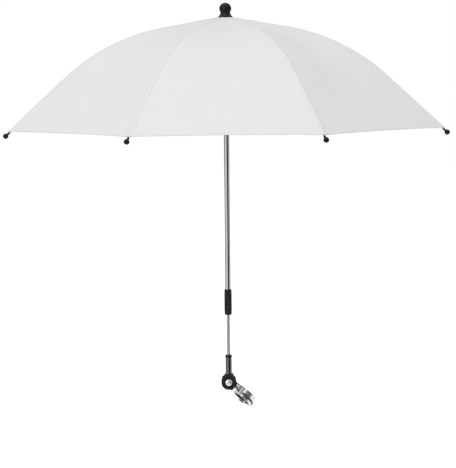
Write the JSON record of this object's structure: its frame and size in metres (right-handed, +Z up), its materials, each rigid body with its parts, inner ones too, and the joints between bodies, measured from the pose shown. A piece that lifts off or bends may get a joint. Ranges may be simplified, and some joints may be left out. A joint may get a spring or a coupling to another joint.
{
  "type": "pram parasol",
  "caption": "Folding pram parasol: white domed canopy on bowed ribs, telescopic mast with a twist collar, tilt and swivel joints, and a hinged band clamp for the pram tube.",
  "frame": {"origin": "middle of the tube clamp's bore", "axes": "+Z up along the mast as it stands open, +X to the right and +Y away from the viewer; the tilt joint turns about Y and the tube clamp's bore leans in the XZ plane, swivelled a little about the line to the tilt joint"},
  "size_m": [0.6957, 0.6958, 0.6778],
  "materials": {
    "cloth_white": "matt woven",
    "plastic_black": "satin",
    "plastic_gloss_black": "gloss",
    "tube_chrome": "polished",
    "rod_grey": "satin",
    "steel_bright": "bright",
    "band_silver": "polished",
    "rubber_grey": "matt"
  },
  "bodies": {
    "clamp": {"clamp_saddle": "band_silver", "liner_saddle": "rubber_grey", "gate_pin": "steel_bright", "swivel_boss": "band_silver", "swivel_pin": "steel_bright"},
    "gate": {"clamp_gate": "band_silver", "liner_gate": "rubber_grey"},
    "screw_washer": {"clamp_washer": "steel_bright"},
    "screw": {"clamp_screw": "steel_bright", "clamp_knob": "plastic_black"},
    "fork": {"tilt_fork": "plastic_black", "friction_discs": "plastic_black", "tilt_bolt": "tube_chrome"},
    "tilt_lock": {"tilt_knob": "plastic_black"},
    "socket": {"rod_socket": "plastic_black", "socket_ring": "plastic_black"},
    "rod": {"inner_rod": "rod_grey"},
    "upper_mast": {"mast_tube": "tube_chrome", "collar_bush": "plastic_black", "stop_pin": "steel_bright", "crown": "plastic_black", "crown_wire": "steel_bright", "finial": "plastic_gloss_black"},
    "collar": {"lock_collar": "plastic_black"},
    "catch": {"open_catch": "steel_bright"},
    "runner": {"runner": "plastic_black", "runner_wire": "steel_bright"},
    "rib_1": {"rib_1": "steel_bright", "tip_1": "plastic_gloss_black", "canopy_panel_1": "cloth_white"},
    "stretcher_1": {"stretcher_1": "steel_bright"},
    "rib_2": {"rib_2": "steel_bright", "tip_2": "plastic_gloss_black", "canopy_panel_2": "cloth_white"},
    "stretcher_2": {"stretcher_2": "steel_bright"},
    "rib_3": {"rib_3": "steel_bright", "tip_3": "plastic_gloss_black", "canopy_panel_3": "cloth_white"},
    "stretcher_3": {"stretcher_3": "steel_bright"},
    "rib_4": {"rib_4": "steel_bright", "tip_4": "plastic_gloss_black", "canopy_panel_4": "cloth_white"},
    "stretcher_4": {"stretcher_4": "steel_bright"},
    "rib_5": {"rib_5": "steel_bright", "tip_5": "plastic_gloss_black", "canopy_panel_5": "cloth_white"},
    "stretcher_5": {"stretcher_5": "steel_bright"},
    "rib_6": {"rib_6": "steel_bright", "tip_6": "plastic_gloss_black", "canopy_panel_6": "cloth_white"},
    "stretcher_6": {"stretcher_6": "steel_bright"},
    "rib_7": {"rib_7": "steel_bright", "tip_7": "plastic_gloss_black", "canopy_panel_7": "cloth_white"},
    "stretcher_7": {"stretcher_7": "steel_bright"},
    "rib_8": {"rib_8": "steel_bright", "tip_8": "plastic_gloss_black", "canopy_panel_8": "cloth_white"},
    "stretcher_8": {"stretcher_8": "steel_bright"}
  },
  "joints": [
    {"name": "clamp_swivel", "type": "hinge", "parent": "clamp", "child": "fork", "pos_m": [0, 0, 0], "axis": [-0.7431, 0, 0.6691], "range_deg": [-90, 90]},
    {"name": "mast_tilt", "type": "hinge", "parent": "fork", "child": "socket", "pos_m": [-0.02586, 0, 0.02329], "axis": [0, 1, 0], "range_deg": [-135, 42]},
    {"name": "tilt_knob_turn", "type": "hinge", "parent": "fork", "child": "tilt_lock", "pos_m": [-0.02586, 0, 0.02329], "axis": [0, 1, 0], "range_deg": [0, 180]},
    {"name": "mast_turn", "type": "hinge", "parent": "socket", "child": "rod", "pos_m": [-0.02586, 0, 0.02329], "axis": [0, 0, 1], "continuous": true},
    {"name": "mast_telescope", "type": "slide", "parent": "rod", "child": "upper_mast", "axis": [0, 0, 1], "range_m": [-0.055, 0.11]},
    {"name": "collar_twist", "type": "hinge", "parent": "upper_mast", "child": "collar", "pos_m": [-0.02586, 0, 0.02329], "axis": [0, 0, 1], "range_deg": [-90, 0]},
    {"name": "catch_press", "type": "slide", "parent": "upper_mast", "child": "catch", "axis": [0, 1, 0], "range_m": [0, 0.0032], "stiffness_N_per_m": 600, "springref_m": -0.002},
    {"name": "runner_slide", "type": "slide", "parent": "upper_mast", "child": "runner", "axis": [0, 0, 1], "range_m": [-0.23015, 0], "deforming": ["canopy_panel_1", "canopy_panel_2", "canopy_panel_3", "canopy_panel_4", "canopy_panel_5", "canopy_panel_6", "canopy_panel_7", "canopy_panel_8", "open_catch"]},
    {"name": "rib_hinge_1", "type": "hinge", "parent": "upper_mast", "child": "rib_1", "pos_m": [-0.01939, 0.00268, 0.62619], "axis": [-0.3827, 0.9239, 0], "range_deg": [-0.05, 60.05]},
    {"name": "stretcher_hinge_1", "type": "hinge", "parent": "rib_1", "child": "stretcher_1", "pos_m": [0.14649, 0.07139, 0.58298], "axis": [-0.3827, 0.9239, 0], "range_deg": [-105.84, 0.05]},
    {"name": "rib_hinge_2", "type": "hinge", "parent": "upper_mast", "child": "rib_2", "pos_m": [-0.02318, 0.00647, 0.62619], "axis": [-0.9239, 0.3827, 0], "range_deg": [-0.05, 60.05]},
    {"name": "stretcher_hinge_2", "type": "hinge", "parent": "rib_2", "child": "stretcher_2", "pos_m": [0.04553, 0.17235, 0.58298], "axis": [-0.9239, 0.3827, 0], "range_deg": [-105.84, 0.05]},
    {"name": "rib_hinge_3", "type": "hinge", "parent": "upper_mast", "child": "rib_3", "pos_m": [-0.02854, 0.00647, 0.62619], "axis": [-0.9239, -0.3827, 0], "range_deg": [-0.05, 60.05]},
    {"name": "stretcher_hinge_3", "type": "hinge", "parent": "rib_3", "child": "stretcher_3", "pos_m": [-0.09725, 0.17235, 0.58298], "axis": [-0.9239, -0.3827, 0], "range_deg": [-105.84, 0.05]},
    {"name": "rib_hinge_4", "type": "hinge", "parent": "upper_mast", "child": "rib_4", "pos_m": [-0.03233, 0.00268, 0.62619], "axis": [-0.3827, -0.9239, 0], "range_deg": [-0.05, 60.05]},
    {"name": "stretcher_hinge_4", "type": "hinge", "parent": "rib_4", "child": "stretcher_4", "pos_m": [-0.19821, 0.07139, 0.58298], "axis": [-0.3827, -0.9239, 0], "range_deg": [-105.84, 0.05]},
    {"name": "rib_hinge_5", "type": "hinge", "parent": "upper_mast", "child": "rib_5", "pos_m": [-0.03233, -0.00268, 0.62619], "axis": [0.3827, -0.9239, 0], "range_deg": [-0.05, 60.05]},
    {"name": "stretcher_hinge_5", "type": "hinge", "parent": "rib_5", "child": "stretcher_5", "pos_m": [-0.19821, -0.07139, 0.58298], "axis": [0.3827, -0.9239, 0], "range_deg": [-105.84, 0.05]},
    {"name": "rib_hinge_6", "type": "hinge", "parent": "upper_mast", "child": "rib_6", "pos_m": [-0.02854, -0.00647, 0.62619], "axis": [0.9239, -0.3827, 0], "range_deg": [-0.05, 60.05]},
    {"name": "stretcher_hinge_6", "type": "hinge", "parent": "rib_6", "child": "stretcher_6", "pos_m": [-0.09725, -0.17235, 0.58298], "axis": [0.9239, -0.3827, 0], "range_deg": [-105.84, 0.05]},
    {"name": "rib_hinge_7", "type": "hinge", "parent": "upper_mast", "child": "rib_7", "pos_m": [-0.02318, -0.00647, 0.62619], "axis": [0.9239, 0.3827, 0], "range_deg": [-0.05, 60.05]},
    {"name": "stretcher_hinge_7", "type": "hinge", "parent": "rib_7", "child": "stretcher_7", "pos_m": [0.04553, -0.17235, 0.58298], "axis": [0.9239, 0.3827, 0], "range_deg": [-105.84, 0.05]},
    {"name": "rib_hinge_8", "type": "hinge", "parent": "upper_mast", "child": "rib_8", "pos_m": [-0.01939, -0.00268, 0.62619], "axis": [0.3827, 0.9239, 0], "range_deg": [-0.05, 60.05]},
    {"name": "stretcher_hinge_8", "type": "hinge", "parent": "rib_8", "child": "stretcher_8", "pos_m": [0.14649, -0.07139, 0.58298], "axis": [0.3827, 0.9239, 0], "range_deg": [-105.84, 0.05]},
    {"name": "gate_swing", "type": "hinge", "parent": "clamp", "child": "gate", "pos_m": [-0.00483, -0.01465, 0.01075], "axis": [-0.6364, -0.309, -0.7068], "range_deg": [0, 70]},
    {"name": "clamp_screw_travel", "type": "slide", "parent": "clamp", "child": "screw_washer", "axis": [-0.7129, 0.5855, 0.3859], "range_m": [0, 0.00625]},
    {"name": "clamp_knob_turn", "type": "hinge", "parent": "screw_washer", "child": "screw", "pos_m": [0.0076, 0.01934, -0.0153], "axis": [-0.7129, 0.5855, 0.3859], "range_deg": [-1, 1801]}
  ],
  "couplings": [
    {"joint": "rib_hinge_1", "follows": "runner_slide", "rad_per_m": -4.5501},
    {"joint": "stretcher_hinge_1", "follows": "runner_slide", "rad_per_m": 8.0226},
    {"joint": "rib_hinge_2", "follows": "runner_slide", "rad_per_m": -4.5501},
    {"joint": "stretcher_hinge_2", "follows": "runner_slide", "rad_per_m": 8.0226},
    {"joint": "rib_hinge_3", "follows": "runner_slide", "rad_per_m": -4.5501},
    {"joint": "stretcher_hinge_3", "follows": "runner_slide", "rad_per_m": 8.0226},
    {"joint": "rib_hinge_4", "follows": "runner_slide", "rad_per_m": -4.5501},
    {"joint": "stretcher_hinge_4", "follows": "runner_slide", "rad_per_m": 8.0226},
    {"joint": "rib_hinge_5", "follows": "runner_slide", "rad_per_m": -4.5501},
    {"joint": "stretcher_hinge_5", "follows": "runner_slide", "rad_per_m": 8.0226},
    {"joint": "rib_hinge_6", "follows": "runner_slide", "rad_per_m": -4.5501},
    {"joint": "stretcher_hinge_6", "follows": "runner_slide", "rad_per_m": 8.0226},
    {"joint": "rib_hinge_7", "follows": "runner_slide", "rad_per_m": -4.5501},
    {"joint": "stretcher_hinge_7", "follows": "runner_slide", "rad_per_m": 8.0226},
    {"joint": "rib_hinge_8", "follows": "runner_slide", "rad_per_m": -4.5501},
    {"joint": "stretcher_hinge_8", "follows": "runner_slide", "rad_per_m": 8.0226},
    {"joint": "clamp_knob_turn", "follows": "clamp_screw_travel", "rad_per_m": 5026.5}
  ]
}
